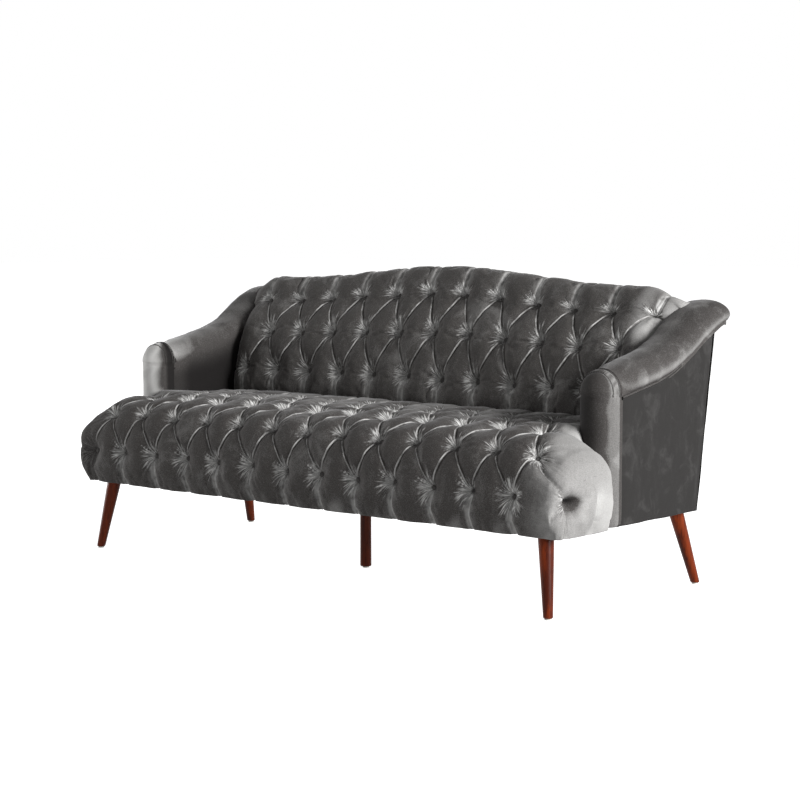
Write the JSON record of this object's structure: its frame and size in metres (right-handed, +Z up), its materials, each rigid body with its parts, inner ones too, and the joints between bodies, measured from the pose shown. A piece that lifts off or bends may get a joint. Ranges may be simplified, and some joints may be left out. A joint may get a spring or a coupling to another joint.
{
  "type": "tufted settee",
  "caption": "Settee with a diamond tufted velvet seat and camel back, low scroll arms that rise to the back, and round tapered splayed wooden legs.",
  "frame": {"origin": "on the floor, under the middle of the settee's bounding box", "axes": "+X along the settee's length, to the right of a person who faces it; +Y to its back; +Z up"},
  "size_m": [1.822, 0.756, 0.84],
  "materials": {
    "velvet": "crushed grey velvet, tufted over wadding on the seat and back",
    "lining": "thin black dust cloth",
    "leg_wood": "glossy red brown mahogany lacquer",
    "frame_wood": "sawn beech, unfinished",
    "foam": "cut upholstery foam",
    "webbing": "woven jute webbing and hessian",
    "steel": "zinc plated steel",
    "glide_plastic": "pale nylon"
  },
  "bodies": {
    "root": {"leg_front_left": "leg_wood", "leg_front_right": "leg_wood", "leg_rear_left": "leg_wood", "leg_rear_right": "leg_wood", "leg_centre": "leg_wood", "leg_glide_front_left": "glide_plastic", "leg_glide_front_right": "glide_plastic", "leg_glide_rear_left": "glide_plastic", "leg_glide_rear_right": "glide_plastic", "leg_glide_centre": "glide_plastic", "leg_plate_front_left": "steel", "leg_plate_front_right": "steel", "leg_plate_rear_left": "steel", "leg_plate_rear_right": "steel", "leg_plate_centre": "steel", "hanger_bolt_front_left": "steel", "hanger_bolt_front_right": "steel", "hanger_bolt_rear_left": "steel", "hanger_bolt_rear_right": "steel", "hanger_bolt_centre": "steel", "seat_front_rail": "frame_wood", "seat_rear_rail": "frame_wood", "seat_side_rail_left": "frame_wood", "seat_side_rail_right": "frame_wood", "seat_centre_rail": "frame_wood", "corner_block_front_left": "frame_wood", "corner_block_front_right": "frame_wood", "corner_block_rear_left": "frame_wood", "corner_block_rear_right": "frame_wood", "back_post_left": "frame_wood", "back_post_right": "frame_wood", "back_upright_left": "frame_wood", "back_upright_right": "frame_wood", "back_top_rail": "frame_wood", "back_lower_rail": "frame_wood", "arm_post_left": "frame_wood", "arm_post_right": "frame_wood", "arm_top_rail_left": "frame_wood", "arm_top_rail_right": "frame_wood", "seat_strap_left": "webbing", "seat_strap_centre": "webbing", "seat_strap_right": "webbing", "deck_cloth": "webbing", "dust_cover": "lining", "seat_foam": "foam", "back_foam": "foam", "seat_cover": "velvet", "back_cover": "velvet", "arm_roll_left": "velvet", "arm_roll_right": "velvet", "arm_column_left": "velvet", "arm_column_right": "velvet", "arm_inside_pad_left": "velvet", "arm_inside_pad_right": "velvet", "arm_outside_panel_left": "velvet", "arm_outside_panel_right": "velvet", "arm_welt_left": "velvet", "arm_welt_right": "velvet", "outside_back_panel": "velvet"}
  },
  "joints": []
}
